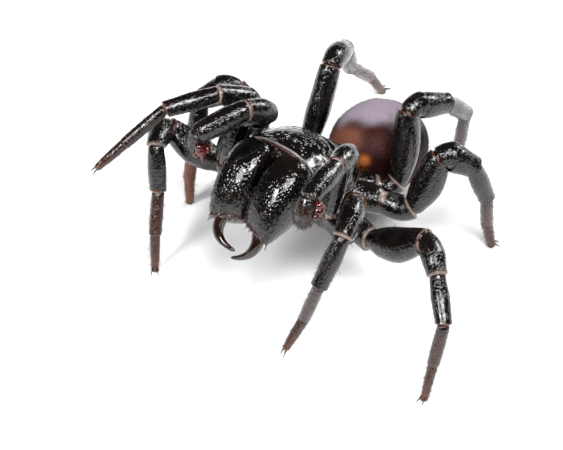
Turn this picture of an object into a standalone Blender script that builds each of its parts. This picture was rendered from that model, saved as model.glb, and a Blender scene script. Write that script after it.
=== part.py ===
"""Male mouse spider at life size, head raised, palps folded up and both front legs held in the air."""

import math
import random

import bmesh
import bpy
from mathutils import Matrix, Vector

# Lengths are millimetres until finish() writes metres; angles are degrees. The head points to -Y.
MM = 0.001
GAP = 0.3
HALF_GAP = GAP / 2

# Stance of the body: its middle above the floor, head up, left side a little up.
STANCE_X = -2.29
STANCE_Y = -2.70
BODY_HEIGHT = 7.0
NOSE_UP = 12.0
LEFT_UP = 2.0

# Carapace, in the body's own frame: X to the left, Y to the rear, Z up, flat underside at Z = 0.
SHELL_RIM_Y = -3.35
SHELL_RIM_Z = 2.4
SHELL_REAR_Y = 3.05
FACE_LEAN = 0.18
EYES = [(0.30, -2.35, 0.17), (0.95, -2.1, 0.12), (2.15, -2.55, 0.16), (2.38, -2.05, 0.13)]

# Plate under the body, which the hips stand round, and the layer that they share.
STERNUM_Y = 0.1
STERNUM_HALF_WIDTH = 1.5
STERNUM_HALF_LENGTH = 1.9
STERNUM_DEPTH = 1.65
HIP_TOP = -GAP

# Jaws and fangs.
JAW_CREST = [
    (-3.42, 2.60), (-3.95, 2.74), (-4.7, 2.50), (-5.5, 1.92),
    (-6.15, 1.10), (-6.6, 0.20), (-6.84, -0.65), (-6.9, -1.38),
]
JAW_KEEL = [
    (-3.95, -0.80), (-4.1, -1.10), (-4.4, -1.45), (-4.75, -1.75),
    (-5.1, -1.95), (-5.45, -2.12), (-5.75, -2.2), (-6.1, -2.22),
]
JAW_OUTER_X = [2.90, 3.00, 3.02, 2.95, 2.80, 2.60, 2.42, 2.25]
JAW_INNER_X = 0.09
JAW_INNER_BACK = 0.36
JAW_INNER_UP = 0.22
FANG_BASE = (1.52, -6.62, -2.0)
FANG_WAY = (0.12, -0.40, -0.90)
FANG_BEND = 1.3
FANG_TIPS = {1: (0.12, -7.31, -3.67), -1: (0.05, -6.92, -3.38)}
FANG_RADIUS = 0.46
FANG_TIP_RADIUS = 0.12

# Waist, abdomen and spinnerets.
WAIST_RADIUS = 0.45
WAIST_Z = -0.95
ABDOMEN_X = 0.2
ABDOMEN_Y = 6.85
ABDOMEN_Z = -1.2
ABDOMEN_HALF = (2.95, 3.35, 2.88)
ABDOMEN_POWER = 2.25

# Limbs: inner end of the hip, base of the thigh (both for the left side, body frame), the hip's radius,
# how far the thigh's underside bulges, segment lengths from thigh to tip, and segment radii.
LIMBS = {
    "palp": dict(
        inner=(1.0, -2.6, -1.0), hip=(4.42, -3.65, 0.1), coxa=0.72, belly=0.0,
        lengths=(4.8, 2.4, 3.3, 2.0), radii=(0.57, 0.70, 0.74, 0.72),
    ),
    "leg_1": dict(
        inner=(1.5, -1.5, -1.2), hip=(5.25, -2.56, -1.55), coxa=0.92, belly=0.35,
        lengths=(5.3, 2.9, 3.5, 3.3, 2.4), radii=(0.76, 0.68, 0.58, 0.40, 0.31),
    ),
    "leg_2": dict(
        inner=(1.8, -0.3, -1.2), hip=(5.78, -0.94, -2.30), coxa=0.95, belly=0.75,
        lengths=(4.9, 2.4, 3.1, 2.8, 2.5), radii=(0.80, 0.69, 0.57, 0.42, 0.30),
    ),
    "leg_3": dict(
        inner=(1.8, 1.0, -1.2), hip=(6.0, 3.0, -1.73), coxa=0.95, belly=0.35,
        lengths=(4.5, 2.4, 3.0, 2.6, 2.1), radii=(0.85, 0.80, 0.60, 0.42, 0.32),
    ),
    "leg_4": dict(
        inner=(1.5, 2.2, -1.2), hip=(3.67, 4.67, -1.74), coxa=0.9, belly=0.35,
        lengths=(5.6, 3.1, 3.6, 3.9, 2.4), radii=(0.80, 0.74, 0.58, 0.42, 0.31),
    ),
}
PALP_PARTS = ("femur", "patella", "tibia", "tarsus")
LEG_PARTS = ("femur", "patella", "tibia", "foot")

# Pose of each limb: turn forward from straight sideways and slope above level, per segment. The last
# slope of a leg that stands is found from the floor.
POSE = {
    ("palp", -1): dict(turns=(-140, 83, 56, -36), slopes=(48, 36, -22, -74)),
    ("palp", 1): dict(turns=(-51, 73, 79, 92), slopes=(75, 17, 2, -71)),
    ("leg_1", -1): dict(turns=(-111, 61, 60, 64, 60), slopes=(57, 25, -4, -34, -38)),
    ("leg_1", 1): dict(turns=(40, 66, 102, 169, 112), slopes=(64, -7, -59, -72, -57)),
    ("leg_2", -1): dict(turns=(23, 121, 136, 122, 129), slopes=(31, 5, -70, -57, None)),
    ("leg_2", 1): dict(turns=(-4, 37, 42, 91, 82), slopes=(27, -21, -33, -71, None)),
    ("leg_3", -1): dict(turns=(25, 44, 101, 106, 103), slopes=(64, -31, -68, -73, None)),
    ("leg_3", 1): dict(turns=(-75, -42, -57, -115, -42), slopes=(59, -35, -71, -79, None)),
    ("leg_4", -1): dict(turns=(-83, -67, -63, -81, -99), slopes=(60, -24, -57, -46, None)),
    ("leg_4", 1): dict(turns=(-111, -73, -97, -138, -120), slopes=(70, -21, -46, -69, None)),
}

# Thighs that curve aside round the head, by their furthest step off the straight line.
BOWS = {("palp", -1): (-0.5, 0.25, 0.42)}

CLAW_RADIUS = 0.11
CLAW_LENGTH = 0.55

COLORS = {
    "black_shell": ((0.022, 0.016, 0.014, 1.0), 0.22),
    "dark_fang": ((0.10, 0.022, 0.014, 1.0), 0.2),
    "abdomen_skin": ((0.16, 0.085, 0.085, 1.0), 0.55),
}


def body_frame():
    """Turns and lifts body coordinates into the part's frame."""
    lean = Matrix.Rotation(math.radians(-NOSE_UP), 4, "X") @ Matrix.Rotation(math.radians(-LEFT_UP), 4, "Y")
    return Matrix.Translation((STANCE_X, STANCE_Y, BODY_HEIGHT)) @ lean


def material(name):
    """The material of a slot, made once."""
    found = bpy.data.materials.get(name)
    if found:
        return found
    color, roughness = COLORS[name]
    made = bpy.data.materials.new(name)
    made.use_nodes = True
    surface = made.node_tree.nodes["Principled BSDF"]
    surface.inputs["Base Color"].default_value = color
    surface.inputs["Roughness"].default_value = roughness
    made.diffuse_color = color
    return made


def face_out(bm):
    """Turns every face of a closed mesh outwards."""
    bmesh.ops.recalc_face_normals(bm, faces=bm.faces[:])
    if bm.calc_volume(signed=True) < 0:
        bmesh.ops.reverse_faces(bm, faces=bm.faces[:])


def finish(name, bm, slot, place=None):
    """Writes a closed mesh as one named object, moved by the given matrix and scaled to metres."""
    bmesh.ops.remove_doubles(bm, verts=bm.verts[:], dist=0.002)
    face_out(bm)
    bm.transform(Matrix.Scale(MM, 4) @ (place or Matrix.Identity(4)))
    mesh = bpy.data.meshes.new(name)
    bm.to_mesh(mesh)
    bm.free()
    mesh.materials.append(material(slot))
    obj = bpy.data.objects.new(name, mesh)
    PARTS.objects.link(obj)
    return obj


def loft(sections):
    """Skin over closed rings of equal count, with a flat face at each end."""
    bm = bmesh.new()
    rings = [[bm.verts.new(point) for point in section] for section in sections]
    count = len(rings[0])
    for first, second in zip(rings, rings[1:]):
        for i in range(count):
            j = (i + 1) % count
            bm.faces.new((first[i], first[j], second[j], second[i]))
    bm.faces.new(rings[0][::-1])
    bm.faces.new(rings[-1])
    face_out(bm)
    return bm


def tube(points, radii, resolution=3):
    """Round tube through the points, made from a bevelled line with filled ends."""
    line = bpy.data.curves.new("line", "CURVE")
    line.dimensions = "3D"
    line.bevel_depth = 1.0
    line.bevel_resolution = resolution
    line.use_fill_caps = True
    spline = line.splines.new("POLY")
    spline.points.add(len(points) - 1)
    for spot, point, radius in zip(spline.points, points, radii):
        spot.co = (*point, 1.0)
        spot.radius = radius
    guide = bpy.data.objects.new("line", line)
    mesh = bpy.data.meshes.new_from_object(guide)
    bm = bmesh.new()
    bm.from_mesh(mesh)
    bmesh.ops.remove_doubles(bm, verts=bm.verts[:], dist=0.0005)
    face_out(bm)
    bpy.data.objects.remove(guide)
    bpy.data.curves.remove(line)
    bpy.data.meshes.remove(mesh)
    return bm


def cut(bm, place, normal):
    """Removes what lies on the normal's side of a plane and closes the cut with a flat face."""
    everything = bm.verts[:] + bm.edges[:] + bm.faces[:]
    made = bmesh.ops.bisect_plane(
        bm, geom=everything, dist=0.0001, plane_co=place, plane_no=normal, clear_outer=True
    )
    edges = [item for item in made["geom_cut"] if isinstance(item, bmesh.types.BMEdge)]
    open_edges = [edge for edge in edges if len(edge.link_faces) == 1]
    if open_edges:
        bmesh.ops.edgeloop_fill(bm, edges=open_edges)
    face_out(bm)


def cone(base, tip, radius, tip_radius=0.02, sides=6):
    """Small spike from base to tip."""
    axis = Vector(tip) - Vector(base)
    bm = bmesh.new()
    bmesh.ops.create_cone(
        bm, cap_ends=True, segments=sides, radius1=radius, radius2=tip_radius, depth=axis.length
    )
    turn = axis.to_track_quat("Z", "Y").to_matrix().to_4x4()
    bm.transform(Matrix.Translation((Vector(base) + Vector(tip)) / 2) @ turn)
    return bm


def ball(center, half, segments=8, rings=5):
    """Small round solid."""
    bm = bmesh.new()
    bmesh.ops.create_uvsphere(bm, u_segments=segments, v_segments=rings, radius=1.0)
    bm.transform(Matrix.Translation(center) @ Matrix.Diagonal((*half, 1.0)))
    return bm


def union(bm, pieces):
    """Joins the sunk-in pieces to a body with one Boolean and keeps the largest closed surface."""
    target = bpy.data.meshes.new("body")
    bm.to_mesh(target)
    bm.free()
    joined = bmesh.new()
    for piece in pieces:
        part = bpy.data.meshes.new("piece")
        face_out(piece)
        piece.to_mesh(part)
        piece.free()
        joined.from_mesh(part)
        bpy.data.meshes.remove(part)
    extra = bpy.data.meshes.new("pieces")
    joined.to_mesh(extra)
    joined.free()
    body = bpy.data.objects.new("body", target)
    cutter = bpy.data.objects.new("pieces", extra)
    for obj in (body, cutter):
        bpy.context.scene.collection.objects.link(obj)
    step = body.modifiers.new("join", "BOOLEAN")
    step.operation = "UNION"
    step.solver = "MANIFOLD"
    step.object = cutter
    graph = bpy.context.evaluated_depsgraph_get()
    result = bpy.data.meshes.new_from_object(body.evaluated_get(graph))
    made = bmesh.new()
    made.from_mesh(result)
    for obj in (body, cutter):
        data = obj.data
        bpy.data.objects.remove(obj)
        bpy.data.meshes.remove(data)
    bpy.data.meshes.remove(result)
    keep_largest(made)
    return made


def keep_largest(bm):
    """Deletes every loose surface but the one with the most points."""
    left = set(bm.verts)
    groups = []
    while left:
        group = {left.pop()}
        edge_of = list(group)
        while edge_of:
            vert = edge_of.pop()
            near = {edge.other_vert(vert) for edge in vert.link_edges} & left
            left -= near
            group |= near
            edge_of += near
        groups.append(group)
    groups.sort(key=len)
    doomed = [vert for group in groups[:-1] for vert in group]
    bmesh.ops.delete(bm, geom=doomed, context="VERTS")


def through(value, stops):
    """Smooth value between (place, amount) stops."""
    for (a, low), (b, high) in zip(stops, stops[1:]):
        if value <= b:
            part = max(0.0, min(1.0, (value - a) / (b - a)))
            part = part * part * (3 - 2 * part)
            return low + (high - low) * part
    return stops[-1][1]


def flowing(value, stops):
    """Value between (place, amount) stops along a cubic whose slope at a stop is the mean of those beside it,
    or level where they change sign."""
    value = min(max(value, stops[0][0]), stops[-1][0])
    rises = [(high - low) / (b - a) for (a, low), (b, high) in zip(stops, stops[1:])]
    middle = [(one + two) / 2 if one * two > 0 else 0.0 for one, two in zip(rises, rises[1:])]
    slopes = [rises[0]] + middle + [rises[-1]]
    for i, ((a, low), (b, high)) in enumerate(zip(stops, stops[1:])):
        if value <= b:
            t = (value - a) / (b - a)
            held = (2 * t**3 - 3 * t**2 + 1) * low + (3 * t**2 - 2 * t**3) * high
            return held + ((t**3 - 2 * t**2 + t) * slopes[i] + (t**3 - t**2) * slopes[i + 1]) * (b - a)
    return stops[-1][1]


def shell_half_width(y):
    """Half-width of the carapace's margin."""
    return flowing(y, [(-3.6, 3.32), (-1.5, 3.45), (0.2, 3.25), (1.8, 2.45), (SHELL_REAR_Y, 1.35)])


def shell_height(y):
    """Height of the carapace's crown: a raised head, then a steep fall to a low rear."""
    head = [(-3.6, 2.82), (-2.4, 2.88), (-1.2, 2.74), (0.2, 2.30)]
    rear = [(1.2, 1.62), (1.9, 0.92), (SHELL_REAR_Y, 0.40)]
    return flowing(y, head + rear)


def shell_power(y):
    """Squareness of the carapace's arch: boxy at the head, round at the rear."""
    return flowing(y, [(-3.4, 2.4), (0.0, 2.3), (SHELL_REAR_Y, 2.0)])


def shell_top(x, y):
    """Height of the carapace's surface at a place."""
    power = shell_power(y)
    reach = min(abs(x) / shell_half_width(y), 0.999)
    return shell_height(y) * (1 - reach**power) ** (1 / power)


def build_carapace():
    """Arched shell cut flat at the face, with the eyes as low domes on the front of the head."""
    sections = []
    steps = 12
    stations = [-4.0, -3.3, -2.7, -2.1, -1.4, -0.8, -0.2, 0.4, 1.0, 1.6, 2.2, 2.7, SHELL_REAR_Y]
    for y in stations:
        ring = []
        for i in range(steps + 1):
            angle = math.pi * i / steps
            power = 2 / shell_power(y)
            cos = math.cos(angle)
            x = math.copysign(abs(cos) ** power, cos) * shell_half_width(y)
            ring.append((x, y, abs(math.sin(angle)) ** power * shell_height(y)))
        sections.append(ring)
    bm = loft(sections)
    cut(bm, (0, SHELL_RIM_Y, SHELL_RIM_Z), (0, -1, FACE_LEAN))
    eyes = []
    for x, y, radius in EYES:
        for side in (-1, 1):
            spot = (side * x, y, shell_top(x, y) - radius * 0.15)
            eyes.append(ball(spot, (radius, radius, radius)))
    finish("carapace", union(bm, eyes), "black_shell", BODY)


def build_sternum():
    """Flat-topped plate between the hips."""
    half = (STERNUM_HALF_WIDTH, STERNUM_HALF_LENGTH, STERNUM_DEPTH)
    bm = ball((0, STERNUM_Y, HIP_TOP), half, 16, 9)
    cut(bm, (0, 0, HIP_TOP), (0, 0, 1))
    finish("sternum", bm, "black_shell", BODY)


def sternum_reach(x, y):
    """Distance from the plate's middle to its edge, towards a place."""
    away = Vector((x, y - STERNUM_Y))
    away.normalize()
    return 1 / math.hypot(away.x / STERNUM_HALF_WIDTH, away.y / STERNUM_HALF_LENGTH), away


def along_stops(values, t):
    """Value of a row of evenly spaced stops at t from 0 to 1."""
    last = len(values) - 1
    return flowing(t * last, [(i, value) for i, value in enumerate(values)])


def jaw_ring(t, count):
    """Ring of the left jaw at t from its base to its end: round outside, flatter inside, and towards the
    end with its inner side further back and higher."""
    crest = Vector((0, along_stops([p[0] for p in JAW_CREST], t), along_stops([p[1] for p in JAW_CREST], t)))
    keel = Vector((0, along_stops([p[0] for p in JAW_KEEL], t), along_stops([p[1] for p in JAW_KEEL], t)))
    outer = along_stops(JAW_OUTER_X, t)
    middle = (crest + keel) / 2 + Vector(((outer + JAW_INNER_X) / 2, 0, 0))
    ring = []
    for k in range(count):
        angle = 2 * math.pi * k / count
        cos, sin = math.cos(angle), math.sin(angle)
        power = 2 / (2.3 if cos > 0 else 3.4)
        cos = math.copysign(abs(cos) ** power, cos)
        sin = math.copysign(abs(sin) ** power, sin)
        point = middle + Vector((cos * (outer - JAW_INNER_X) / 2, 0, 0)) + (crest - keel) * (sin / 2)
        ring.append(point + jaw_slant(point.x, t))
    return ring, middle + jaw_slant(middle.x, t)


def jaw_slant(x, t):
    """Step back and up of the jaw's inner side near its end."""
    inward = max(-1.0, min(1.0, (1.4 - x) / 1.3)) * through(t, [(0.1, 0.0), (1.0, 1.0)])
    return Vector((0, JAW_INNER_BACK, JAW_INNER_UP)) * inward


def build_jaw(name, side):
    """Bulging jaw with a flat inner face, a flat foot for its fang and a row of stout digging spines."""
    seed = random.Random(side + 5)
    sections = []
    for i in range(14):
        ring, middle = jaw_ring(i / 13, 20)
        sections.append(ring)
    for dome, ahead in ((0.90, 0.08), (0.62, 0.17), (0.30, 0.22)):
        sections.append([middle.lerp(point, dome) + Vector((0, -0.75, -0.66)) * ahead for point in ring])
    front = ring[3:8]
    bm = loft(sections)
    if side < 0:
        bm.transform(Matrix.Diagonal((-1, 1, 1, 1)))
        bmesh.ops.reverse_faces(bm, faces=bm.faces[:])
    face = Vector((0, SHELL_RIM_Y, SHELL_RIM_Z)) + Vector((0, -1, FACE_LEAN)).normalized() * GAP
    cut(bm, face, (0, 1, -FACE_LEAN))
    cut(bm, (side * HALF_GAP, 0, 0), (-side, 0, 0))
    base, way = fang_start(side)
    cut(bm, base - way * GAP, way)
    spikes = []
    for i in range(6):
        share = i / 5 * (len(front) - 1)
        at = min(int(share), len(front) - 2)
        root = front[at].lerp(front[at + 1], share - at) + Vector((0, 0.12, 0.22))
        root.x = side * (root.x + seed.uniform(-0.03, 0.03))
        length = 0.62 + seed.uniform(-0.08, 0.08)
        tip = root + Vector((0.12 * (root.x - side * 1.4), -0.72, -0.60)).normalized() * length
        spikes.append(cone(root, tip, 0.14, 0.03))
    finish(name, union(bm, spikes), "black_shell", BODY)


def fang_start(side):
    """Middle of the fang's base and the way it sets out."""
    base = Vector((side * FANG_BASE[0], FANG_BASE[1], FANG_BASE[2]))
    return base, Vector((side * FANG_WAY[0], FANG_WAY[1], FANG_WAY[2])).normalized()


def build_fang(name, side):
    """Curved fang that crosses its twin near the tip."""
    base, way = fang_start(side)
    bend = base + way * FANG_BEND
    tip = Vector(FANG_TIPS[side])
    points = []
    radii = []
    for i in range(10):
        t = i / 9
        points.append(base * (1 - t) ** 2 + bend * (2 * t * (1 - t)) + tip * t * t)
        radii.append(FANG_RADIUS + (FANG_TIP_RADIUS - FANG_RADIUS) * t**1.3)
    finish(name, tube(points, radii, 2), "dark_fang", BODY)


def build_waist_and_abdomen():
    """Short waist, egg-shaped abdomen with a flat at each end, and the spinnerets behind it."""
    start = STERNUM_Y + STERNUM_HALF_LENGTH * 0.93 + GAP
    front = ABDOMEN_Y - ABDOMEN_HALF[1] * 0.965
    end = front - GAP
    places = [(0, start), (0.06, (start + end) / 2), (0.15, end - 0.3), (0.15, end)]
    points = [(x, y, WAIST_Z) for x, y in places]
    radii = [WAIST_RADIUS, WAIST_RADIUS * 0.9, WAIST_RADIUS, WAIST_RADIUS]
    finish("waist", tube(points, radii), "black_shell", BODY)

    bm = ball((0, 0, 0), (1, 1, 1), 22, 14)
    for vert in bm.verts:
        square = sum(abs(value) ** ABDOMEN_POWER for value in vert.co) ** (1 / ABDOMEN_POWER)
        way = vert.co / square
        fuller = 1 + 0.05 * way.y
        vert.co.x = ABDOMEN_X + way.x * ABDOMEN_HALF[0] * fuller
        vert.co.y = ABDOMEN_Y + way.y * ABDOMEN_HALF[1]
        vert.co.z = ABDOMEN_Z + way.z * ABDOMEN_HALF[2] * fuller
    cut(bm, (0, front, 0), (0, -1, 0))
    rear = Vector((ABDOMEN_X, ABDOMEN_Y + ABDOMEN_HALF[1] * 0.88, ABDOMEN_Z - ABDOMEN_HALF[2] * 0.36))
    out = Vector((0, 0.86, -0.5)).normalized()
    cut(bm, rear, out)
    finish("abdomen", bm, "abdomen_skin", BODY)

    seat = rear + out * (GAP + 0.01)
    plate = tube([seat, seat + out * 0.28, seat + out * 0.5], [0.72, 0.68, 0.4])
    fingers = []
    for side in (-1, 1):
        for x, drop, radius, length in ((0.34, 0.12, 0.25, 1.05), (0.21, -0.36, 0.18, 0.6)):
            root = seat + out * 0.25 + Vector((side * x, 0, drop))
            tip = root + (out + Vector((side * 0.25, 0, 0.15))).normalized() * length
            fingers.append(tube([root, root.lerp(tip, 0.6), tip], [radius, radius * 0.85, radius * 0.4], 1))
    finish("spinnerets", union(plate, fingers), "abdomen_skin", BODY)


def rounded_path(points, bends, bow):
    """Line with arcs for its inner corners, the thigh's stretch bowed aside; also the distance to the start
    of each arc, the arc's length and the way to the inside of the bend."""
    path = [points[0]]
    marks = []
    length = 0.0
    for before, corner, after, bend in zip(points, points[1:], points[2:], bends):
        into = (corner - before).normalized()
        out = (after - corner).normalized()
        turn = max(into.angle(out), 0.02)
        most = 0.42 * min((corner - before).length, (after - corner).length)
        reach = min(bend * math.tan(turn / 2), most)
        radius = reach / math.tan(turn / 2)
        inward = (out - into * into.dot(out)).normalized()
        start = corner - into * reach
        last = path[-1].copy()
        steps = 8 if len(marks) == 1 and bow else 1
        for k in range(1, steps + 1):
            aside = Vector(bow) * math.sin(math.pi * k / steps) ** 2 if steps > 1 else Vector((0, 0, 0))
            point = last.lerp(start, k / steps) + aside
            length += (point - path[-1]).length
            path.append(point)
        marks.append((length, radius * turn, inward))
        steps = max(2, round(turn / 0.35))
        for k in range(1, steps + 1):
            angle = turn * k / steps
            path.append(start + into * (radius * math.sin(angle)) + inward * (radius * (1 - math.cos(angle))))
        length += radius * turn
    path.append(points[-1])
    return path, marks


def deepen(bm, path, places, start, end, below, amounts):
    """Reshapes a tube round the path: each point's distance from it grows on the underside by the belly and
    on the back by the dome, and shrinks at the sides, by the amounts for 0 to 1 between start and end."""
    count = 40
    spots = [start + (end - start) * i / count for i in range(count + 1)]
    middles = [point_at(path, places, s) for s in spots]
    for vert in bm.verts:
        at = min(range(count + 1), key=lambda i: (middles[i] - vert.co).length_squared)
        along = (middles[min(at + 1, count)] - middles[max(at - 1, 0)]).normalized()
        off = vert.co - middles[at]
        level = along * off.dot(along)
        off = off - level
        if off.length < 0.01:
            continue
        low = (below - along * below.dot(along)).normalized()
        down = off.normalized().dot(low)
        belly, dome, slim = amounts(at / count)
        grow = 1 + belly * max(down, 0.0) ** 1.3 + dome * max(-down, 0.0) - slim * (1 - down * down)
        vert.co = middles[at] + level + off * grow


def measured(path):
    """Distance along the path at each of its points."""
    places = [0.0]
    for a, b in zip(path, path[1:]):
        places.append(places[-1] + (b - a).length)
    return places


def point_at(path, places, s):
    """Point of the path at a distance."""
    for i in range(1, len(path)):
        if s <= places[i] or i == len(path) - 1:
            part = (s - places[i - 1]) / max(places[i] - places[i - 1], 1e-9)
            return path[i - 1].lerp(path[i], part)


def piece_of(path, places, start, end, profile, resolution, step=0.9):
    """Tube along part of the path, with the radius that the profile gives for 0 to 1 along it."""
    stations = [s for s in places if start + 0.12 < s < end - 0.12]
    count = max(3, math.ceil((end - start) / step))
    for i in range(1, count):
        s = start + (end - start) * i / count
        if all(abs(s - other) > 0.22 for other in stations):
            stations.append(s)
    stations = [start] + sorted(stations) + [end]
    points = [point_at(path, places, s) for s in stations]
    radii = [profile((s - start) / (end - start)) for s in stations]
    return tube(points, radii, resolution)


def limb_points(kind, side):
    """Joints of a limb in the part's frame, from the hip's inner end to the tip."""
    limb = LIMBS[kind]
    pose = POSE[kind, side]
    reach, away = sternum_reach(limb["inner"][0], limb["inner"][1])
    start = Vector((away.x, away.y)) * (reach + GAP)
    inner = Vector((side * start.x, STERNUM_Y + start.y, limb["inner"][2]))
    hip = Vector((side * limb["hip"][0], limb["hip"][1], limb["hip"][2]))
    points = [BODY @ inner, BODY @ hip]
    for length, turn, slope in zip(limb["lengths"], pose["turns"], pose["slopes"]):
        if slope is None:
            rise = min(1.0, (points[-1].z + 0.08) / length)
            tilt = -math.asin(rise)
        else:
            tilt = math.radians(slope)
        turn = math.radians(turn)
        level = Vector((side * math.cos(turn), -math.sin(turn), 0))
        points.append(points[-1] + (level * math.cos(tilt) + Vector((0, 0, math.sin(tilt)))) * length)
    return points


def neighbour_cuts(kind, side):
    """Planes that part a hip from the hips beside it, in the body's frame."""
    order = list(LIMBS)
    at = order.index(kind)
    planes = []
    for other, sign in ((at - 1, -1), (at + 1, 1)):
        if not 0 <= other < len(order):
            continue
        mine, theirs = LIMBS[kind], LIMBS[order[other]]
        inner = (Vector(mine["inner"]) + Vector(theirs["inner"])) / 2
        outer = (Vector(mine["hip"]) + Vector(theirs["hip"])) / 2
        way = Vector((outer.x - inner.x, outer.y - inner.y, 0)).normalized()
        normal = Vector((-way.y, way.x, 0)) * sign
        place = inner - normal * HALF_GAP
        planes.append((Vector((side * place.x, place.y, place.z)), Vector((side * normal.x, normal.y, 0))))
    return planes


def build_limb(kind, side):
    """Hip, thigh, knee, shin and foot of one limb, parted across the line that runs through them."""
    limb = LIMBS[kind]
    radii = limb["radii"]
    points = limb_points(kind, side)
    bends = [limb["coxa"]] + [radius * 1.06 for radius in radii[: len(points) - 3]]
    bends[1] = radii[0] * (1.04 if kind == "palp" else 1.12)
    path, marks = rounded_path(points, bends, BOWS.get((kind, side)))
    places = measured(path)
    hand = "left" if side > 0 else "right"
    thigh, knee = marks[0], marks[1]
    cuts = [thigh[0] + thigh[1] * 0.62, knee[0] + knee[1] * 0.3]
    cuts += [start + arc / 2 for start, arc, inward in marks[2:]]

    def thigh_shape(t):
        belly = limb["belly"] * flowing(t, [(0, 0), (0.25, 0.7), (0.55, 1), (1, 0.2)])
        dome = 0.16 * flowing(t, [(0.7, 0), (1, 0.6)])
        return belly, dome, 0.10 * flowing(t, [(0, 0), (0.5, 1), (1, 0.75)])

    def knee_shape(t):
        dome = 0.16 * flowing(t, [(0, 0.6), (0.5, 1), (1, 0.3)])
        return limb["belly"] * 0.1 * (1 - t), dome, 0.03 * (1 - t)

    def hip_radius(t):
        coxa = [(0.0, limb["coxa"] * 0.85), (0.45, limb["coxa"])]
        return through(t, coxa + [(0.72, radii[0] * 0.94), (1.0, radii[0] * 0.98)])

    planes = []
    for s in cuts:
        along = (point_at(path, places, s + 0.03) - point_at(path, places, s - 0.03)).normalized()
        planes.append((point_at(path, places, s), along))
    bm = piece_of(path, places, 0.0, cuts[0], hip_radius, 3, 0.7)
    cut(bm, planes[0][0] - planes[0][1] * HALF_GAP, planes[0][1])
    bm.transform(BODY.inverted())
    cut(bm, (0, 0, HIP_TOP), (0, 0, 1))
    for place, normal in neighbour_cuts(kind, side):
        cut(bm, place, normal)
    if kind == "palp":
        cut(bm, (side * HALF_GAP, 0, 0), (-side, 0, 0))
    finish(f"{kind}_{hand}_hip", bm, "black_shell", BODY)

    names = PALP_PARTS if kind == "palp" else LEG_PARTS
    ends = cuts[1:4] + [places[-1]]
    start = cuts[0]
    for i, part in enumerate(names):
        end = ends[i]
        radius = radii[i]
        last = i == len(names) - 1
        first_face = start
        last_face = end
        if kind == "palp" and last:
            stops = [(0, radius * 0.86), (0.5, radius), (0.85, radius * 0.72), (1, radius * 0.3)]
            bm = piece_of(path, places, first_face, last_face, lambda t: through(t, stops), 3, 0.3)
            middle = point_at(path, places, first_face * 0.45 + last_face * 0.55)
            way = (points[-1] - points[-2]).normalized()
            inner = (points[-3] - points[-2]).normalized()
            under = (inner - way * inner.dot(way)).normalized()
            bulb = ball(middle + under * (radius * 1.05), (0.46, 0.46, 0.46), 10, 7)
            spur_root = middle + under * (radius * 1.3)
            spur = cone(spur_root, spur_root + under * 0.55 + way * 0.5, 0.2, 0.05)
            bm = union(union(bm, [bulb]), [spur])
        elif last:
            ankle = marks[4][0] + marks[4][1] / 2
            share = (ankle - first_face) / (last_face - first_face)
            foot = radii[4]
            ankle_stop = (share * 0.97, radius * 0.84)
            toe_stops = [(min(share * 1.12, 0.8), foot), (1, foot * 0.8)]
            stops = [(0, radius * 0.92), (share * 0.5, radius), ankle_stop] + toe_stops
            bm = piece_of(path, places, first_face, last_face, lambda t: through(t, stops), 2, 0.8)
            bm = add_claws(bm, points, side, kind)
        else:
            swell = [(0, 0.9), (0.5, 1.05), (1, 0.9)]
            if part == "femur":
                swell = [(0, 0.80), (0.4, 1.04), (0.75, 1.0), (1, 0.88)]
            bm = piece_of(path, places, first_face, last_face, lambda t: radius * through(t, swell), 3)
            if i < 2:
                amounts = (thigh_shape, knee_shape)[i]
                deepen(bm, path, places, first_face, last_face, knee[2], amounts)
        cut(bm, planes[i][0] + planes[i][1] * HALF_GAP, -planes[i][1])
        if not last:
            cut(bm, planes[i + 1][0] - planes[i + 1][1] * HALF_GAP, planes[i + 1][1])
        finish(f"{kind}_{hand}_{part}", bm, "black_shell")
        start = end


def add_claws(bm, points, side, kind):
    """Two claws at the toe; a foot that stands is then cut level with the floor."""
    tip = points[-1]
    way = (tip - points[-2]).normalized()
    level = Vector((way.x, way.y, 0)).normalized()
    across = Vector((-level.y, level.x, 0))
    standing = POSE[kind, side]["slopes"][-1] is None
    claws = []
    for sign in (-1, 1):
        if standing:
            root = Vector((tip.x, tip.y, 0.34)) + across * (sign * 0.14) - level * 0.02
            end = Vector((tip.x, tip.y, 0.07)) + level * CLAW_LENGTH + across * (sign * 0.26)
        else:
            root = tip - way * 0.12 + across * (sign * 0.14)
            end = tip + way * (CLAW_LENGTH * 0.8) + across * (sign * 0.22) - Vector((0, 0, 0.12))
        claws.append(cone(root, end, CLAW_RADIUS, 0.03))
    bm = union(bm, claws)
    if standing:
        cut(bm, (0, 0, 0), (0, 0, -1))
    return bm


for obj in list(bpy.data.objects):
    bpy.data.objects.remove(obj)
PARTS = bpy.data.collections.new("mouse_spider")
bpy.context.scene.collection.children.link(PARTS)
BODY = body_frame()

build_carapace()
build_sternum()
build_jaw("chelicera_left", 1)
build_jaw("chelicera_right", -1)
build_fang("fang_left", 1)
build_fang("fang_right", -1)
build_waist_and_abdomen()
for limb_kind in LIMBS:
    for limb_side in (1, -1):
        build_limb(limb_kind, limb_side)
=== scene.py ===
"""Dresses the mouse spider: black granular shell, pale joint skin, red rims, bristles, claws and fangs."""

import bpy
import numpy as np
from mathutils import Matrix


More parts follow.
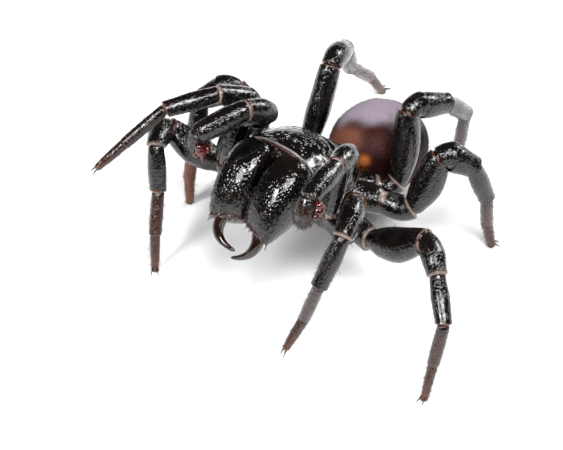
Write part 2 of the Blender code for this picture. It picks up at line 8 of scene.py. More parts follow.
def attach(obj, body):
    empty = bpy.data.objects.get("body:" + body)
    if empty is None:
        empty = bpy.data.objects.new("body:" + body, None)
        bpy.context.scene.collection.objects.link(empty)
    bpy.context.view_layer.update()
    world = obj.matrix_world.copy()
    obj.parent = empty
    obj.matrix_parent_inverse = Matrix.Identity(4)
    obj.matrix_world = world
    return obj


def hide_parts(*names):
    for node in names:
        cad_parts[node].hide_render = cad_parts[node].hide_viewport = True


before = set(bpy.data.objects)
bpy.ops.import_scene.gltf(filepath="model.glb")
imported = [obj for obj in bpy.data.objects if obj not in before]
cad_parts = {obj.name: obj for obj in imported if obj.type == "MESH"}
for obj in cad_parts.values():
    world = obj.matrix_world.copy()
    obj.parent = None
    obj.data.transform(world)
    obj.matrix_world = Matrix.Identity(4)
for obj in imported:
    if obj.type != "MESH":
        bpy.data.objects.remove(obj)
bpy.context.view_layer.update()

# Camera, floor and lights.
# A long lens looks down on the left front of the spider. The table top is pale and has no edge in view.
# Three soft lamps, over its left, behind it and before it, and a dim room light it.
MM = 0.001
STANCE = np.array([-2.29, -2.70, 7.0])


def add_object(name, data):
    """New object in the scene."""
    made = bpy.data.objects.new(name, data)
    bpy.context.scene.collection.objects.link(made)
    return made


azimuth, elevation = np.radians(40.0), np.radians(42.0)
CAMERA_DISTANCE, AIM_RIGHT, AIM_UP = 220.0, -1.79, -3.69
level = np.cos(elevation)
back = np.array([np.sin(azimuth) * level, -np.cos(azimuth) * level, np.sin(elevation)])
right = np.array([np.cos(azimuth), np.sin(azimuth), 0.0])
up = np.cross(back, right)
lens = bpy.data.cameras.new("camera")
lens.sensor_width = 36.0
lens.lens = 225.08
lens.clip_start = 0.01
lens.clip_end = 5.0
camera = add_object("camera", lens)
pose = np.eye(4)
pose[:3, 0], pose[:3, 1], pose[:3, 2] = right, up, back
pose[:3, 3] = (STANCE + CAMERA_DISTANCE * back + AIM_RIGHT * right + AIM_UP * up) * MM
camera.matrix_world = Matrix(pose.tolist())
bpy.context.scene.camera = camera
bpy.context.scene.view_settings.view_transform = "Standard"

floor_mesh = bpy.data.meshes.new("floor")
floor_mesh.from_pydata([(-1.5, -1.5, 0), (1.5, -1.5, 0), (1.5, 1.5, 0), (-1.5, 1.5, 0)], [], [(0, 1, 2, 3)])
floor = add_object("floor", floor_mesh)


def set_sockets(node, **sockets):
    """Sets unlinked sockets of a shader node. A space in a socket's name is written as _."""
    for key, value in sockets.items():
        node.inputs[key.replace("_", " ")].default_value = value


paper = bpy.data.materials.new("pale_floor")
paper.use_nodes = True
set_sockets(paper.node_tree.nodes["Principled BSDF"], Base_Color=(0.80, 0.80, 0.805, 1), Roughness=0.9)
floor_mesh.materials.append(paper)

world = bpy.data.worlds.new("room")
bpy.context.scene.world = world
world.use_nodes = True
set_sockets(world.node_tree.nodes["Background"], Color=(1.0, 0.99, 0.985, 1), Strength=0.06)

LAMP_DISTANCE = 0.30
LAMP_SQUARE_TO = [1.0, 0.28, 0.3]


def unit_of(vectors):
    """One vector, or each row of several, divided by its length."""
    axis = None if np.ndim(vectors) == 1 else -1
    return vectors / np.linalg.norm(vectors, axis=axis, keepdims=True)


def lamp(name, way, size, power):
    """Area lamp along a way from the spider's middle, facing it, its width square to a sideways line."""
    way = unit_of(np.array(way, float))
    data = bpy.data.lights.new(name, "AREA")
    data.shape = "RECTANGLE"
    data.size, data.size_y = size
    data.energy = power
    side = unit_of(np.cross(LAMP_SQUARE_TO, way))
    turn = np.eye(4)
    turn[:3, 0], turn[:3, 1], turn[:3, 2] = side, np.cross(way, side), way
    turn[:3, 3] = STANCE * MM + way * LAMP_DISTANCE
    add_object(name, data).matrix_world = Matrix(turn.tolist())


lamp("lamp_behind", (0.22, 0.80, 0.56), (0.13, 0.10), 0.75)
lamp("lamp_left", (0.45, -0.25, 0.86), (0.12, 0.17), 1.45)
lamp("lamp_before", (-0.14, -0.72, 0.66), (0.11, 0.09), 0.95)

# Carapace.
# One hard, domed plate covers the head and chest. It is glossy black, set with fine granules, steep at
# the front where the jaws join, with a sunken pit and shallow grooves behind the head.
NOSE_UP, LEFT_UP = np.radians(12.0), np.radians(2.0)
LEAN = np.array(
    [[1, 0, 0], [0, np.cos(NOSE_UP), np.sin(NOSE_UP)], [0, -np.sin(NOSE_UP), np.cos(NOSE_UP)]]
) @ np.array([[np.cos(LEFT_UP), 0, -np.sin(LEFT_UP)], [0, 1, 0], [np.sin(LEFT_UP), 0, np.cos(LEFT_UP)]])


def on_body(points):
    """Body coordinates (x left, y back, z up, millimetres) turned by the lean and lifted to the stance."""
    return np.asarray(points, float) @ LEAN.T + STANCE


def span_at(value, stops):
    """The span between two stops that holds a value: its number i, its length and the value's share t."""
    places, amounts = np.array(stops, float).T
    value = np.clip(value, places[0], places[-1])
    i = np.clip(np.searchsorted(places, value, side="right") - 1, 0, len(places) - 2)
    span = places[i + 1] - places[i]
    return places, amounts, i, span, (value - places[i]) / span


def eased(value, stops):
    """Curve through (place, amount) stops: 3t² - 2t³ from each to the next and flat outside them."""
    _, amounts, i, _, t = span_at(value, stops)
    return amounts[i] + (amounts[i + 1] - amounts[i]) * t * t * (3 - 2 * t)


def flowing(value, stops):
    """Curve through (place, amount) stops: a cubic between each two. Its slope at a stop is the mean of the
    slopes beside it, or level where they change sign."""
    places, amounts, i, span, t = span_at(value, stops)
    rise = np.diff(amounts) / np.diff(places)
    slope = np.concatenate([rise[:1], (rise[1:] + rise[:-1]) / 2 * (rise[1:] * rise[:-1] > 0), rise[-1:]])
    held = (2 * t**3 - 3 * t**2 + 1) * amounts[i] + (3 * t**2 - 2 * t**3) * amounts[i + 1]
    return held + ((t**3 - 2 * t**2 + t) * slope[i] + (t**3 - t**2) * slope[i + 1]) * span


def bump_of(distance, width):
    """Bell curve exp(-(distance / width)²)."""
    return np.exp(-((distance / width) ** 2))


def angles(count):
    """Angles once round a circle, in steps of 2π / count."""
    return np.linspace(0, 2 * np.pi, count, endpoint=False)


def closed_skins(grids, tones=None, patches=None):
    """Skins over (pieces, rows, columns) of points. Each row closes round on itself and both end rows
    close by a fan to their mean. All faces are turned outwards by the sign of the volume they hold."""
    count, rows, cols = grids.shape[:3]

    def with_ends(values):
        ends = [values[:, :1].mean(2), values[:, -1:].mean(2)]
        return np.concatenate([values.reshape(count, rows * cols, -1)] + ends, 1)

    points = with_ends(grids)
    row = np.arange(rows - 1)[:, None] * cols
    here = np.arange(cols)[None, :]
    after = (here + 1) % cols
    quads = np.stack([row + here, row + after, row + cols + after, row + cols + here], -1).reshape(-1, 4)
    start = np.stack([after[0], here[0], np.full(cols, rows * cols)], -1)
    last = (rows - 1) * cols
    end = np.stack([last + here[0], last + after[0], np.full(cols, rows * cols + 1)], -1)
    fans = np.concatenate([start, end])
    corners = np.concatenate([quads[:, :3], quads[:, [0, 2, 3]], fans])
    middle = points - points.mean(1, keepdims=True)
    a, b, c = (middle[:, corners[:, k]] for k in range(3))
    if np.einsum("nij,nij->", a, np.cross(b, c)) < 0:
        quads, fans = quads[:, ::-1], fans[:, ::-1]
    step = (np.arange(count) * (rows * cols + 2))[:, None, None]
    return dict(
        points=points.reshape(-1, 3),
        quads=(quads[None] + step).reshape(-1, 4),
        fans=(fans[None] + step).reshape(-1, 3),
        tones=None if tones is None else with_ends(tones).reshape(-1, tones.shape[-1]),
        patches=None if patches is None else with_ends(patches).reshape(-1, 2),
    )


def body_skin(grid, tones=None):
    """One closed skin from a grid in body coordinates, with its tones or blank ones."""
    return closed_skins(on_body(grid)[None], np.zeros((1,) + grid.shape) if tones is None else tones[None])


def piece_of(name, skins, material):
    """One smooth object in metres from skins in millimetres, with their tones and their coat map if any."""
    counts = np.cumsum([0] + [len(skin["points"]) for skin in skins])
    points = np.concatenate([skin["points"] for skin in skins]) * MM
    quads = np.concatenate([skin["quads"] + n for skin, n in zip(skins, counts)])
    fans = np.concatenate([skin["fans"] + n for skin, n in zip(skins, counts)])
    mesh = bpy.data.meshes.new(name)
    mesh.vertices.add(len(points))
    mesh.vertices.foreach_set("co", points.astype(np.float32).ravel())
    corners = np.concatenate([quads.ravel(), fans.ravel()]).astype(np.int32)
    starts = np.concatenate([np.arange(len(quads)) * 4, len(quads) * 4 + np.arange(len(fans)) * 3])
    mesh.loops.add(len(corners))
    mesh.loops.foreach_set("vertex_index", corners)
    mesh.polygons.add(len(starts))
    mesh.polygons.foreach_set("loop_start", starts.astype(np.int32))
    mesh.update(calc_edges=True)
    mesh.validate()
    mesh.polygons.foreach_set("use_smooth", np.ones(len(mesh.polygons), bool))
    if skins[0]["tones"] is not None:
        tones = np.concatenate([skin["tones"] for skin in skins])
        tones = np.concatenate([tones, np.ones((len(tones), 1))], 1)
        layer = mesh.attributes.new("tone", "FLOAT_COLOR", "POINT")
        layer.data.foreach_set("color", tones.astype(np.float32).ravel())
    if skins[0]["patches"] is not None:
        patches = np.concatenate([skin["patches"] for skin in skins])
        layer = mesh.uv_layers.new(name="OFBake")
        layer.data.foreach_set("uv", patches[corners].astype(np.float32).ravel())
    mesh.materials.append(material)
    obj = add_object(name, mesh)
    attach(obj, "root")
    return obj


def add_node(tree, kind, settings, **sockets):
    """Adds a shader node with its settings and its unlinked socket values."""
    node = tree.nodes.new(kind)
    for key, value in settings.items():
        setattr(node, key, value)
    set_sockets(node, **sockets)
    return node


def mixed(tree, share, first, second):
    """Colour that goes from the first to the second by a share. Each may be a socket or a plain colour."""
    node = add_node(tree, "ShaderNodeMix", {"data_type": "RGBA"})
    for at, value in ((0, share), (6, first), (7, second)):
        if isinstance(value, bpy.types.NodeSocket):
            tree.links.new(value, node.inputs[at])
        else:
            node.inputs[at].default_value = value
    return node.outputs[2]


def ranged(tree, value, low, high, to_low=0.0, to_high=1.0):
    """Smooth step of a socket from one range to another."""
    node = add_node(
        tree, "ShaderNodeMapRange", {"interpolation_type": "SMOOTHSTEP"},
        From_Min=low, From_Max=high, To_Min=to_low, To_Max=to_high,
    )
    tree.links.new(value, node.inputs["Value"])
    return node.outputs["Result"]


def blank_finish(name):
    """New material: itself, its node tree, its surface node and its socket of places."""
    made = bpy.data.materials.new(name)
    made.use_nodes = True
    tree = made.node_tree
    where = add_node(tree, "ShaderNodeTexCoord", {}).outputs["Object"]
    return made, tree, tree.nodes["Principled BSDF"], where


def noise(tree, where, scale, detail):
    """Cloud noise at a socket of places, with so many waves to the metre."""
    node = add_node(tree, "ShaderNodeTexNoise", {}, Scale=scale, Detail=detail)
    tree.links.new(where, node.inputs["Vector"])
    return node.outputs["Fac"]


def painted_tone(tree):
    """The red, green and blue channels of the painted tone."""
    painted = add_node(tree, "ShaderNodeAttribute", {"attribute_name": "tone"})
    parts = add_node(tree, "ShaderNodeSeparateColor", {})
    tree.links.new(painted.outputs["Color"], parts.inputs["Color"])
    return [parts.outputs[key] for key in ("Red", "Green", "Blue")]


def relief(tree, height, strength, depth, under=None):
    """Bump of a height socket, by a depth in millimetres, over another bump if one is given."""
    node = add_node(tree, "ShaderNodeBump", {}, Strength=strength, Distance=depth * MM)
    tree.links.new(height, node.inputs["Height"])
    if under is not None:
        tree.links.new(under, node.inputs["Normal"])
    return node.outputs["Normal"]


def shell(name, dark, warm, grain, height, gloss, coat=0.3, cover=0.72):
    """Hard skin. Colour wanders from dark to warm by a cloud noise; the painted tone adds pale joint skin
    (red channel), rust (green) and dust (blue). Granules of the grain's size (millimetres) are bumps from
    rounded cells, as wide as cover of the grain, over a finer noise."""
    made, tree, surface, where = blank_finish(name)
    cells = add_node(tree, "ShaderNodeTexVoronoi", {}, Scale=1000.0 / grain)
    tree.links.new(where, cells.inputs["Vector"])
    cloud, fine = noise(tree, where, 900.0, 4.0), noise(tree, where, 14000.0, 3.0)
    skin, rust, dust = painted_tone(tree)
    color = mixed(tree, ranged(tree, cloud, 0.42, 0.72), dark, warm)
    color = mixed(tree, dust, color, (0.026, 0.012, 0.009, 1))
    color = mixed(tree, rust, color, (0.14, 0.036, 0.011, 1))
    flesh = mixed(tree, ranged(tree, fine, 0.35, 0.7), (0.14, 0.095, 0.078, 1), (0.25, 0.20, 0.175, 1))
    color = mixed(tree, skin, color, flesh)
    tree.links.new(color, surface.inputs["Base Color"])
    tree.links.new(ranged(tree, skin, 0.0, 1.0, gloss, 0.5), surface.inputs["Roughness"])
    domes = ranged(tree, cells.outputs["Distance"], 0.05, cover, 1.0, 0.0)
    granules = relief(tree, domes, 0.9, height)
    tree.links.new(relief(tree, fine, 0.3, 0.006, granules), surface.inputs["Normal"])
    set_sockets(surface, Specular_IOR_Level=0.40, Coat_Weight=coat, Coat_Roughness=0.05)
    return made


def shell_width(y):
    """Half-width of the plate's margin at y: widest before the middle, drawn in at the rear."""
    return flowing(y, [(-3.6, 3.32), (-1.5, 3.45), (0.2, 3.25), (1.8, 2.45), (3.05, 1.35)])


def shell_height(y):
    """Height of the crown at y: raised head, dip behind it, low rear."""
    head = [(-3.6, 2.82), (-2.4, 2.88), (-1.2, 2.74)]
    chest = [(0.2, 2.30), (1.2, 1.62), (1.9, 0.92), (3.05, 0.40)]
    return flowing(y, head + chest)


def shell_power(y):
    """Squareness of the arch at y."""
    return flowing(y, [(-3.4, 2.4), (0.0, 2.3), (3.05, 2.0)])


def shell_top(x, y):
    """Height of the arch over a place: crown * (1 - |x / half-width|^power)^(1 / power)."""
    power = shell_power(y)
    reach = np.minimum(np.abs(x) / shell_width(y), 0.999)
    return shell_height(y) * (1 - reach**power) ** (1 / power)


rows, cols, under = 110, 132, 20
rear_end, front_end = 3.05, -3.2
margin_flare, groove_depth, ray_depth, pit_depth = 0.022, 0.13, 0.07, 0.34
y = np.linspace(rear_end, front_end, rows)[:, None] * np.ones((1, cols))
angle = np.linspace(0, np.pi, cols)[None, :]
power = 2 / shell_power(y)
x = np.sign(np.cos(angle)) * np.abs(np.cos(angle)) ** power * shell_width(y)
z = np.abs(np.sin(angle)) ** power * shell_height(y)
x = x * (1 + margin_flare * bump_of(z, 0.10))
groove = np.abs(y - (0.55 - 0.52 * np.abs(x)))
z = z - groove_depth * bump_of(groove, 0.16) * eased(z, [(0.1, 0), (0.6, 1)])
for turn in (-0.15, 0.45, 1.0):
    ray = np.abs((y - 0.9) * np.cos(turn) - np.abs(x) * np.sin(turn))
    ahead = np.abs(x) * np.cos(turn) + (y - 0.9) * np.sin(turn)
    z = z - ray_depth * bump_of(ray, 0.13) * eased(ahead, [(0.5, 0), (1.0, 1), (2.2, 1), (2.8, 0)])
pit = y - (0.95 - 0.28 * x**2)
z = z - pit_depth * bump_of(pit, 0.15) * bump_of(x, 0.75)
ahead = eased(-y, [(0.5, 0), (3.2, 1)])
brow = 0.32 * (1 - (x / 2.9) ** 2) * eased(-y, [(1.8, 0), (3.2, 1)]) * eased(z, [(0.3, 0), (1.6, 1)])
y = y + 0.18 * (z - 2.4) * ahead - brow
arch = np.stack([x, y, z], -1)
share = np.linspace(0, 1, under + 2)[None, 1:-1, None]
floor_of_shell = arch[:, -1:] * (1 - share) + arch[:, :1] * share
floor_of_shell[..., 2] += 0.12 * np.sin(np.pi * share[..., 0])
carapace_grid = np.concatenate([arch, floor_of_shell], 1)
tone = np.zeros(carapace_grid.shape)
tone[..., 1] = 0.5 * bump_of(carapace_grid[..., 2], 0.07)
tone[..., 2] = 0.35 * bump_of(carapace_grid[..., 1] - carapace_grid[-1, :, 1][None], 0.07)
SHELL_DARK, SHELL_WARM = (0.001, 0.0008, 0.0008, 1), (0.0035, 0.002, 0.0015, 1)
black_granular = shell("black_granular_shell", SHELL_DARK, SHELL_WARM, 0.36, 0.072, 0.13, cover=0.55)
carapace = piece_of("carapace_shell", [body_skin(carapace_grid, tone)], black_granular)
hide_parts("carapace")

# Rim of the face.
# The front edge of the plate is turned out into a thin pale grey lip, and a strip of reddish skin
# joins it to the jaws below.


def curve_through(points, count):
    """Catmull-Rom curve: each span is 0.5 (2b + (c-a)t + (2a-5b+4c-d)t² + (3b-a-3c+d)t³) of four points."""
    points = np.asarray(points, float)
    points = np.concatenate([2 * points[:1] - points[1:2], points, 2 * points[-1:] - points[-2:-1]])
    spans = len(points) - 3
    place = np.linspace(0, spans, count)
    i = np.minimum(place.astype(int), spans - 1)
    t = (place - i)[:, None]
    a, b, c, d = (points[i + k] for k in range(4))
    return 0.5 * (2 * b + (c - a) * t + (2 * a - 5 * b + 4 * c - d) * t**2 + (3 * b - a - 3 * c + d) * t**3)


def frames_along(path, first_up):
    """Unit ways along the path and two across it, carried from row to row with the least twist."""
    along = unit_of(np.gradient(path, axis=0))
    across = np.empty_like(along)
    held = np.asarray(first_up, float)
    for i, way in enumerate(along):
        held = unit_of(held - way * (held @ way))
        across[i] = held
    return along, across, np.cross(along, across)


def round_tube(path, radius, sides, first_up=(0, 0, 1.0), flat=1.0):
    """Rows of points round a path: point = path + radius (cos a · across + flat · sin a · side)."""
    along, across, side = frames_along(path, first_up)
    a = angles(sides)[None, :, None]
    ring = np.cos(a) * across[:, None] + flat * np.sin(a) * side[:, None]
    return path[:, None] + np.asarray(radius)[:, None, None] * ring


LIP_RADIUS, FACE_SKIN_RADIUS, MARGIN_RADIUS = 0.075, 0.06, 0.15
edge = arch[-1, 6:-6]
lip_path = edge[::2] + np.array([0, -0.02, 0.0])
lip = round_tube(lip_path, np.full(len(lip_path), LIP_RADIUS), 10)
skin_path = edge[::2] * np.array([0.955, 1, 0.955]) + np.array([0, -0.13, 0.03])
face_skin = round_tube(skin_path, np.full(len(skin_path), FACE_SKIN_RADIUS), 10)
lip_grey = shell("lip_grey", (0.09, 0.078, 0.075, 1), (0.17, 0.15, 0.145, 1), 0.2, 0.006, 0.25)
red_skin = shell("red_joint_skin", (0.016, 0.003, 0.0025, 1), (0.05, 0.010, 0.008, 1), 0.1, 0.012, 0.35)
for name, grid, material in (("face_lip", lip, lip_grey), ("face_joint_skin", face_skin, red_skin)):
    strip = piece_of(name, [body_skin(grid)], material)

# Pale skin shows under the margin of the plate all round.
margin = np.concatenate([arch[::-2, -1], arch[::2, 0]])
margin = margin * np.array([0.945, 0.985, 1]) + np.array([0, 0, -0.11])
margin_grid = round_tube(margin, np.full(len(margin), MARGIN_RADIUS), 12)
margin_tone = np.zeros(margin_grid.shape)
margin_tone[..., 0] = 0.85
margin_skin = piece_of("margin_skin", [body_skin(margin_grid, margin_tone)], red_skin)

# Eyes.
# Eight small clear lenses sit in a wide low group on the front of the head. Each is a smooth bead of shell
# in a raised dark ring.
LENS_SINK, RING_SINK, RING_SCALE = 0.05, 0.62, 1.28
eye_places = [(0.30, -2.35, 0.17), (0.95, -2.1, 0.12), (2.15, -2.55, 0.16), (2.38, -2.05, 0.13)]


def balls(centers, halves, rings=14, sides=20):
    """Balls as (pieces, rows, columns): point = center + half (sin b cos a, sin b sin a, cos b)."""
    b = np.linspace(0.06, np.pi - 0.06, rings)[None, :, None]
    a = angles(sides)[None, None, :]
    unit = np.stack(np.broadcast_arrays(np.sin(b) * np.cos(a), np.sin(b) * np.sin(a), np.cos(b)), -1)
    return np.asarray(centers)[:, None, None] + np.asarray(halves)[:, None, None] * unit


lenses, sockets = [], []
for ex, ey, er in eye_places:
    for side in (-1, 1):
        top = float(shell_top(ex, ey))
        lenses.append((side * ex, ey, top - er * LENS_SINK, er))
        sockets.append((side * ex, ey, top - er * RING_SINK, er * RING_SCALE))
lenses, sockets = np.array(lenses), np.array(sockets)
eye_glass = shell("eye_lens", (0.012, 0.009, 0.010, 1), (0.035, 0.020, 0.015, 1), 0.3, 0.002, 0.06, 1.0)
lens_grid = balls(lenses[:, :3], lenses[:, 3:] * np.ones(3))
eyes = piece_of("eyes", [closed_skins(on_body(lens_grid))], eye_glass)
ring_grid = balls(sockets[:, :3], sockets[:, 3:] * np.ones(3))
ring_skin = closed_skins(on_body(ring_grid), np.zeros(ring_grid.shape))
eye_rings = piece_of("eye_rings", [ring_skin], black_granular)

# Jaws.
# Two massive bulging jaws hang from the face, side by side with flat inner faces. Their shell is glossy
# black and granular, combed with rows of fine bristles, with stout red digging spines over each fang.
CREST = [
    (-3.42, 2.60), (-3.95, 2.74), (-4.7, 2.50), (-5.5, 1.92),
    (-6.15, 1.10), (-6.6, 0.20), (-6.84, -0.65), (-6.9, -1.38),
]
KEEL = [
    (-3.95, -0.80), (-4.1, -1.10), (-4.4, -1.45), (-4.75, -1.75),
    (-5.1, -1.95), (-5.45, -2.12), (-5.75, -2.2), (-6.1, -2.22),
]
OUTER_X = [2.90, 3.00, 3.02, 2.95, 2.80, 2.60, 2.42, 2.25]
INNER_X = [0.10, 0.09, 0.08, 0.08, 0.08, 0.08, 0.08, 0.10]
OUTER_POWER, INNER_POWER = 2.3, 3.4
INNER_BACK, INNER_RISE = 0.36, 0.22
JAW_RINGS, JAW_SIDES = 96, 90


def jaw_surface(count, sides):
    """Left jaw: rings between its crest, keel, outer and inner lines. A ring is |x|^p + |z|^p = 1 with a
    higher power p inside than outside, so the inner faces are flatter. Towards the end the inner side lies
    further back and higher than the outer one. The end is closed by a low dome."""
    crest = curve_through([(0, y, z) for y, z in CREST], count)
    keel = curve_through([(0, y, z) for y, z in KEEL], count)
    sizes = curve_through([(outer, inner, 0) for outer, inner in zip(OUTER_X, INNER_X)], count)
    middle = (crest + keel) / 2 + np.stack([(sizes[:, 0] + sizes[:, 1]) / 2, sizes[:, 2], sizes[:, 2]], -1)
    half = (crest - keel) / 2
    wide = (sizes[:, 0] - sizes[:, 1]) / 2
    a = angles(sides)
    power = 2 / np.where(np.cos(a) > 0, OUTER_POWER, INNER_POWER)
    cos = np.sign(np.cos(a)) * np.abs(np.cos(a)) ** power
    sin = np.sign(np.sin(a)) * np.abs(np.sin(a)) ** power
    grid = middle[:, None] + cos[None, :, None] * wide[:, None, None] * np.array([1.0, 0, 0])
    grid = grid + sin[None, :, None] * half[:, None]
    k = np.linspace(0.12, 0.97, 14)[:, None, None]
    dome = middle[-1] + (grid[-1] - middle[-1])[None] * np.sqrt(1 - k**2) + np.array([0, -0.17, -0.15]) * k
    grid = np.concatenate([grid, dome])
    t = np.concatenate([np.linspace(0, 1, count), 1 + k[:, 0, 0]])
    inward = np.clip((1.4 - grid[..., 0]) / 1.3, -1, 1) * eased(t, [(0.1, 0), (1.0, 1)])[:, None]
    grid[..., 1] += INNER_BACK * inward
    grid[..., 2] += INNER_RISE * inward
    return grid, t


def jaw_front(x):
    """Place (y, z) of the front edge of the jaw's last ring at x."""
    middle, half = 1.175, 1.075
    across = (x - middle) / half
    power = np.where(across > 0, OUTER_POWER, INNER_POWER)
    rise = (1 - np.minimum(np.abs(across), 0.98) ** power) ** (1 / power)
    inward = np.clip((1.4 - x) / 1.3, -1, 1)
    return -6.5 - 0.40 * rise + INNER_BACK * inward, -1.80 + 0.42 * rise + INNER_RISE * inward


def cells_of(grid):
    """Cells between the points: middles, outward area vectors, ways along and places (0 to 1 both ways)."""
    after = np.roll(grid, -1, 1)
    a, b, c, d = grid[:-1], after[:-1], after[1:], grid[1:]
    area = 0.5 * np.cross(c - a, d - b)
    middle = (a + b + c + d) / 4
    if np.einsum("ijk,ijk->", area, middle - grid.mean((0, 1))) < 0:
        area = -area
    along = (c + d - a - b) / 2
    rows, cols = grid.shape[:2]
    place = np.stack(np.meshgrid(np.arange(rows - 1) / rows, np.arange(cols) / cols, indexing="ij"), -1)
    return middle, area, along, place


ROOT_DEPTH, ROOT_SPREAD = 0.05, 0.08
BRISTLE_TAPER = np.array([1.0, 0.8, 0.5, 0.08])
PATCH_HALF = 0.0015


def bristles(grid, weight, count, length, thickness, lift, bend, seed, side_way=0.0, sides=3, marks=None):
    """Tapered bristles on a skin: point(t) = root + length (t way + bend t² along), with way between the
    skin's outward and along ways by lift. Cells are drawn with odds of weight times area. A bristle takes
    its cell's marks as its tone, and none goes below the floor."""
    rng = np.random.default_rng(seed)
    middle, area, along, place = (value.reshape(-1, value.shape[-1]) for value in cells_of(grid))
    size = np.linalg.norm(area, axis=1)
    odds = np.maximum(weight.reshape(-1), 0) * size
    picked = rng.choice(len(odds), count, p=odds / odds.sum())
    out = area[picked] / size[picked][:, None]
    onward = along[picked] / np.maximum(np.linalg.norm(along[picked], axis=1, keepdims=True), 1e-9)
    across = np.cross(out, onward)
    spot = rng.uniform(-0.5, 0.5, (count, 1)) * onward + rng.uniform(-0.5, 0.5, (count, 1)) * across
    root = middle[picked] + spot * ROOT_SPREAD
    tilt = np.radians(lift + rng.normal(0, 9, (count, 1)))
    sway = side_way + rng.normal(0, 0.22, (count, 1))
    flat_way = unit_of(onward + sway * across)
    way = np.sin(tilt) * out + np.cos(tilt) * flat_way
    long = length * rng.uniform(0.65, 1.2, (count, 1))
    t = np.array([0.0, 0.45, 0.8, 1.0])[None, :, None]
    line = root[:, None] - ROOT_DEPTH * out[:, None]
    line = line + long[:, None] * (t * way[:, None] + bend * t**2 * flat_way[:, None])
    a = (np.arange(sides) * 2 * np.pi / sides)[None, None, :, None]
    one = np.cross(way, out + 0.3 * onward)
    one /= np.maximum(np.linalg.norm(one, axis=1, keepdims=True), 1e-9)
    two = np.cross(way, one)
    radius = (thickness * BRISTLE_TAPER)[None, :, None, None] * rng.uniform(0.8, 1.2, (count, 1, 1, 1))
    ring = np.cos(a) * one[:, None, None] + np.sin(a) * two[:, None, None]
    patch = place[picked][:, None, None] * 0.96 + 0.02
    spread = np.concatenate(np.broadcast_arrays(2 * t[..., None] - 1, np.cos(a)), -1)
    shape = line[:, :, None] + radius * ring
    shape[..., 2] = np.maximum(shape[..., 2], 0.0)
    tones = None
    if marks is not None:
        tones = np.broadcast_to(marks.reshape(-1, 3)[picked][:, None, None], shape.shape)
    return closed_skins(shape, tones, patch + PATCH_HALF * spread)


def hair(name, color, pale, gloss=0.35):
    """Bristle finish: brown that pales by a cloud noise, half glossy."""
    made, tree, surface, where = blank_finish(name)
    tint = mixed(tree, ranged(tree, noise(tree, where, 1500.0, 3.0), 0.35, 0.65), color, pale)
    tree.links.new(tint, surface.inputs["Base Color"])
    set_sockets(surface, Roughness=gloss)
    return made


def spike_set(roots, tips, radius, bow=(0, 0, 0), sides=7, rows=7):
    """Curved spikes: line = root + (tip - root) t + bow · 4t(1-t), radius falling as (1 - t)^0.6."""
    roots, tips = np.asarray(roots, float), np.asarray(tips, float)
    t = np.linspace(0, 1, rows)[None, :, None]
    line = roots[:, None] * (1 - t) + tips[:, None] * t + np.asarray(bow, float) * 4 * t * (1 - t)
    way = tips - roots
    one = unit_of(np.cross(way, [0.13, 0.37, 0.92]))
    two = unit_of(np.cross(way, one))
    a = (np.arange(sides) * 2 * np.pi / sides)[None, None, :, None]
    taper = np.maximum(1 - t[..., None], 0.03) ** 0.6
    thin = np.broadcast_to(radius, (len(roots),))[:, None, None, None] * taper
    return line[:, :, None] + thin * (np.cos(a) * one[:, None, None] + np.sin(a) * two[:, None, None])


jaw_grid, jaw_t = jaw_surface(JAW_RINGS, JAW_SIDES)
jaw_tone = np.zeros(jaw_grid.shape)
jaw_tone[..., 1] = 0.15 * eased(jaw_t, [(0.88, 0), (1.1, 1)])[:, None]
jaw_black = shell("jaw_shell", SHELL_DARK, SHELL_WARM, 0.22, 0.026, 0.14)
SPINES = 12
SPINE_RADIUS = 0.055
digging_red = hair("digging_spine", (0.006, 0.002, 0.002, 1), (0.028, 0.005, 0.0035, 1), 0.2)
comb_brown = hair("comb_bristle", (0.006, 0.004, 0.004, 1), (0.06, 0.05, 0.046, 1), 0.16)
for hand, side in (("left", 1), ("right", -1)):
    grid = jaw_grid * np.array([side, 1, 1])
    jaw = piece_of(f"jaw_{hand}", [body_skin(grid, jaw_tone)], jaw_black)
    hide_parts(f"chelicera_{hand}")
    rng = np.random.default_rng(side + 5)
    x = 0.35 + 0.17 * np.arange(SPINES)
    low = np.arange(SPINES) % 2
    y, z = jaw_front(x)
    roots = np.stack([x * side, y + 0.05 + 0.10 * low, z + 0.10 - 0.30 * low], -1)
    reach = np.stack([side * 0.12 * (x - 1.42), -0.22 + 0 * x, -0.28 + 0 * x], -1)
    tips = roots + reach * rng.uniform(0.8, 1.1, (SPINES, 1))
    spine_grid = spike_set(roots, tips, SPINE_RADIUS)
    spines = piece_of(f"digging_spines_{hand}", [closed_skins(on_body(spine_grid))], digging_red)
    placed = on_body(grid)
    middle = (jaw_t[1:] + jaw_t[:-1]) / 2
    around = np.arange(JAW_SIDES) / JAW_SIDES * 2 * np.pi
    front = np.maximum(np.sin(around), 0)[None] ** 0.5
    comb = eased(middle, [(0.5, 0), (0.65, 1), (0.92, 1), (1.0, 0.3), (1.05, 0)])[:, None] * front
    coat = bristles(placed, comb, 520, 0.42, 0.012, 9, 0.02, side + 21, side_way=-1.1 * side)
    sparse = bristles(placed, 0.1 + comb, 110, 0.34, 0.010, 38, -0.2, side + 31)
    comb_piece = piece_of(f"jaw_bristles_{hand}", [coat, sparse], comb_brown)

